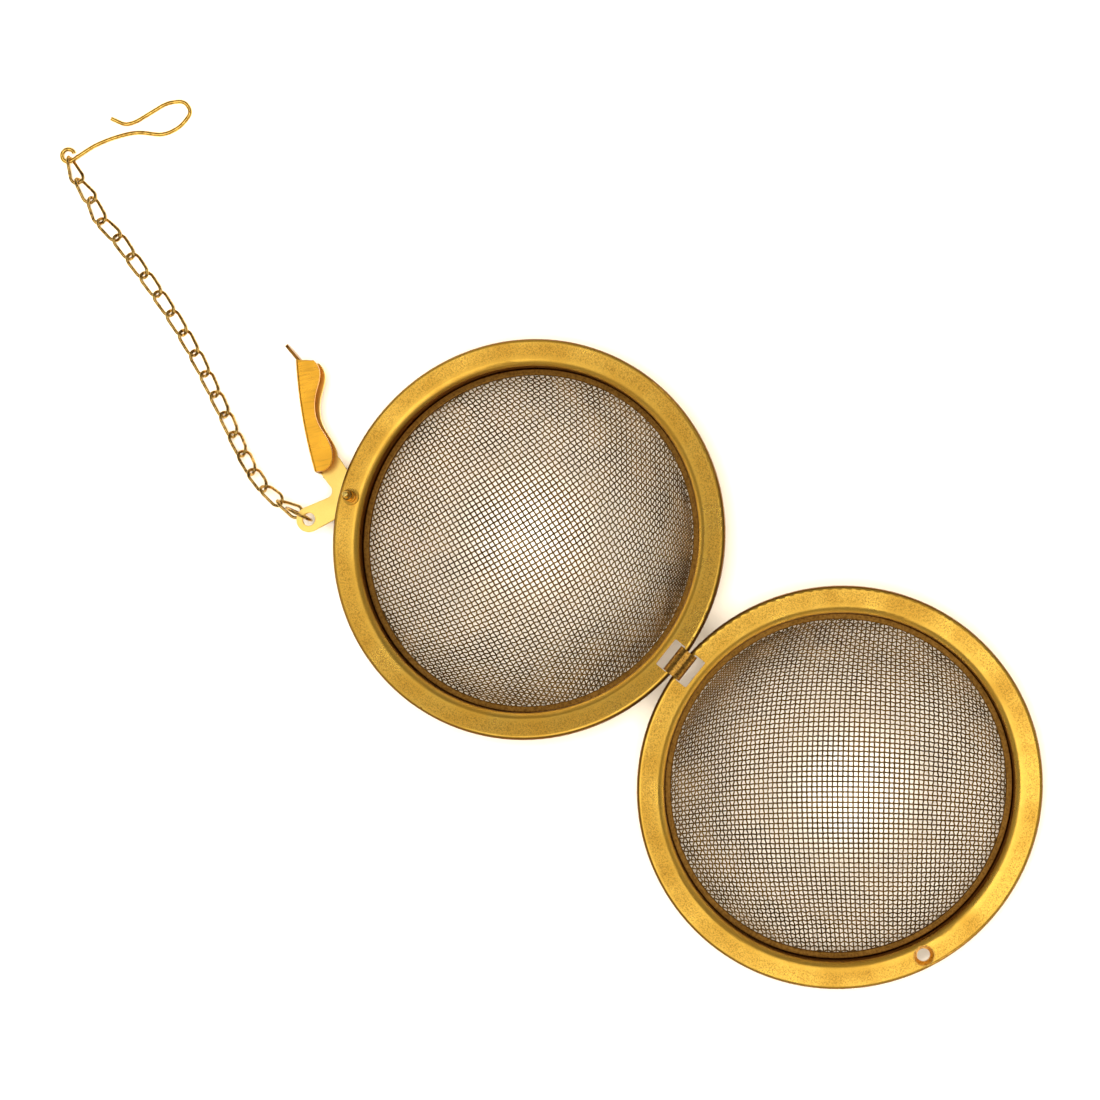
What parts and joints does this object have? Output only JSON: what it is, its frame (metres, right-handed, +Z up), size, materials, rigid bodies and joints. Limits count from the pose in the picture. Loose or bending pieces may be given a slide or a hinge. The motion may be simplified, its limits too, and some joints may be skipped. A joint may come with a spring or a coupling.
{
  "type": "tea infuser",
  "caption": "Hinged mesh-ball tea infuser lying open, with a latch lever, guide pin and eyelet, and a curb chain that ends in a wire cup hook.",
  "frame": {"origin": "under the middle of the whole object as it lies open, on the surface that it rests on", "axes": "+Z up, +X from the latch half to the lid half, hinge line parallel to Y"},
  "size_m": [0.1992, 0.065, 0.0265],
  "materials": {
    "rim": "gold-toned stainless sheet, satin with a bright rolled edge",
    "mesh": "gold-toned stainless wire cloth, plain weave",
    "hem": "gold-toned stainless sheet, darker in the recess",
    "pin": "turned pin and rolled eyelet, semi-bright",
    "clip": "rolled gold-toned strip, semi-bright",
    "lever": "gold-toned stainless sheet with faint cross marks",
    "chain_wire": "antique gold wire, bright on its crowns",
    "hook_wire": "gold-toned drawn wire, bright"
  },
  "bodies": {
    "latch_half": {"latch_rim": "rim", "latch_mesh_bowl": "mesh", "latch_retaining_ring": "hem", "guide_pin": "pin"},
    "lid_half": {"lid_rim": "rim", "lid_mesh_bowl": "mesh", "lid_retaining_ring": "hem", "guide_eyelet": "pin"},
    "hinge_clip": {"hinge_clip": "clip"},
    "latch_lever": {"latch_lever": "lever"},
    "jump_ring": {"jump_ring": "chain_wire"},
    "chain_link_01": {"chain_link_01": "chain_wire"},
    "chain_link_02": {"chain_link_02": "chain_wire"},
    "chain_link_03": {"chain_link_03": "chain_wire"},
    "chain_link_04": {"chain_link_04": "chain_wire"},
    "chain_link_05": {"chain_link_05": "chain_wire"},
    "chain_link_06": {"chain_link_06": "chain_wire"},
    "chain_link_07": {"chain_link_07": "chain_wire"},
    "chain_link_08": {"chain_link_08": "chain_wire"},
    "chain_link_09": {"chain_link_09": "chain_wire"},
    "chain_link_10": {"chain_link_10": "chain_wire"},
    "chain_link_11": {"chain_link_11": "chain_wire"},
    "chain_link_12": {"chain_link_12": "chain_wire"},
    "chain_link_13": {"chain_link_13": "chain_wire"},
    "chain_link_14": {"chain_link_14": "chain_wire"},
    "chain_link_15": {"chain_link_15": "chain_wire"},
    "chain_link_16": {"chain_link_16": "chain_wire"},
    "chain_link_17": {"chain_link_17": "chain_wire"},
    "chain_link_18": {"chain_link_18": "chain_wire"},
    "chain_link_19": {"chain_link_19": "chain_wire"},
    "cup_hook": {"cup_hook": "hook_wire"}
  },
  "joints": [
    {"name": "lid_hinge", "type": "hinge", "parent": "latch_half", "child": "lid_half", "pos_m": [0.03558, 0, 0.02494], "axis": [0, -1, 0], "range_deg": [0, 201]},
    {"name": "clip_turn", "type": "hinge", "parent": "latch_half", "child": "hinge_clip", "pos_m": [0.03558, 0, 0.02494], "axis": [0, -1, 0], "range_deg": [0, 100.5]},
    {"name": "lever_turn", "type": "hinge", "parent": "latch_half", "child": "latch_lever", "pos_m": [-0.02334, -0.01281, 0.01243], "axis": [0.1822, 0, -0.9833], "range_deg": [-20, 47]},
    {"name": "ring_swing", "type": "hinge", "parent": "latch_lever", "child": "jump_ring", "pos_m": [-0.02698, -0.02011, 0.01175], "axis": [0.2079, -0.9781, 0], "range_deg": [-30, 20]},
    {"name": "link_01", "type": "hinge", "parent": "jump_ring", "child": "chain_link_01", "pos_m": [-0.02921, -0.02058, 0.00955], "axis": [0.1392, -0.9903, 0], "range_deg": [-25, 25]},
    {"name": "link_02", "type": "hinge", "parent": "chain_link_01", "child": "chain_link_02", "pos_m": [-0.03299, -0.02111, 0.00874], "axis": [-0.342, 0.006, 0.9397], "range_deg": [-25, 25]},
    {"name": "link_03", "type": "hinge", "parent": "chain_link_02", "child": "chain_link_03", "pos_m": [-0.03665, -0.02105, 0.0074], "axis": [0.225, 0.9744, 0], "range_deg": [-25, 25]},
    {"name": "link_04", "type": "hinge", "parent": "chain_link_03", "child": "chain_link_04", "pos_m": [-0.04015, -0.02024, 0.00588], "axis": [0.3672, -0.1336, -0.9205], "range_deg": [-25, 25]},
    {"name": "link_05", "type": "hinge", "parent": "chain_link_04", "child": "chain_link_05", "pos_m": [-0.04353, -0.01901, 0.00435], "axis": [-0.3907, -0.9205, 0], "range_deg": [-25, 25]},
    {"name": "link_06", "type": "hinge", "parent": "chain_link_05", "child": "chain_link_06", "pos_m": [-0.0469, -0.01758, 0.00302], "axis": [-0.2498, 0.1165, 0.9613], "range_deg": [-25, 25]},
    {"name": "link_07", "type": "hinge", "parent": "chain_link_06", "child": "chain_link_07", "pos_m": [-0.0503, -0.016, 0.00194], "axis": [0.4067, 0.9135, 0], "range_deg": [-25, 25]},
    {"name": "link_08", "type": "hinge", "parent": "chain_link_07", "child": "chain_link_08", "pos_m": [-0.05381, -0.01443, 0.00127], "axis": [0.1218, -0.0542, -0.9911], "range_deg": [-25, 25]},
    {"name": "link_09", "type": "hinge", "parent": "chain_link_08", "child": "chain_link_09", "pos_m": [-0.05734, -0.01286, 0.00075], "axis": [-0.4067, -0.9135, 0], "range_deg": [-25, 25]},
    {"name": "link_10", "type": "hinge", "parent": "chain_link_09", "child": "chain_link_10", "pos_m": [-0.0609, -0.01127, 0.00075], "axis": [0, 0, 1], "range_deg": [-25, 25]},
    {"name": "link_11", "type": "hinge", "parent": "chain_link_10", "child": "chain_link_11", "pos_m": [-0.06452, -0.00981, 0.00075], "axis": [0.3256, 0.9455, 0], "range_deg": [-25, 25]},
    {"name": "link_12", "type": "hinge", "parent": "chain_link_11", "child": "chain_link_12", "pos_m": [-0.0682, -0.00854, 0.00075], "axis": [0, 0, -1], "range_deg": [-25, 25]},
    {"name": "link_13", "type": "hinge", "parent": "chain_link_12", "child": "chain_link_13", "pos_m": [-0.07193, -0.0074, 0.00075], "axis": [-0.2756, -0.9613, 0], "range_deg": [-25, 25]},
    {"name": "link_14", "type": "hinge", "parent": "chain_link_13", "child": "chain_link_14", "pos_m": [-0.07568, -0.00633, 0.00075], "axis": [0, 0, 1], "range_deg": [-25, 25]},
    {"name": "link_15", "type": "hinge", "parent": "chain_link_14", "child": "chain_link_15", "pos_m": [-0.07945, -0.00532, 0.00075], "axis": [0.2756, 0.9613, 0], "range_deg": [-25, 25]},
    {"name": "link_16", "type": "hinge", "parent": "chain_link_15", "child": "chain_link_16", "pos_m": [-0.0832, -0.00424, 0.00083], "axis": [-0.0295, 0.0031, -0.9996], "range_deg": [-25, 25]},
    {"name": "link_17", "type": "hinge", "parent": "chain_link_16", "child": "chain_link_17", "pos_m": [-0.08707, -0.00384, 0.00095], "axis": [-0.4695, -0.8829, 0], "range_deg": [-25, 25]},
    {"name": "link_18", "type": "hinge", "parent": "chain_link_17", "child": "chain_link_18", "pos_m": [-0.09052, -0.00201, 0.00107], "axis": [0.0268, -0.0077, 0.9996], "range_deg": [-25, 25]},
    {"name": "link_19", "type": "hinge", "parent": "chain_link_18", "child": "chain_link_19", "pos_m": [-0.09426, -0.00093, 0.00118], "axis": [0.5, 0.866, 0], "range_deg": [-25, 25]},
    {"name": "hook_swing", "type": "hinge", "parent": "chain_link_19", "child": "cup_hook", "pos_m": [-0.09764, 0.00102, 0.00127], "axis": [0, 0, 1], "range_deg": [-20, 20]}
  ],
  "couplings": [
    {"joint": "clip_turn", "follows": "lid_hinge", "ratio": 0.5}
  ]
}
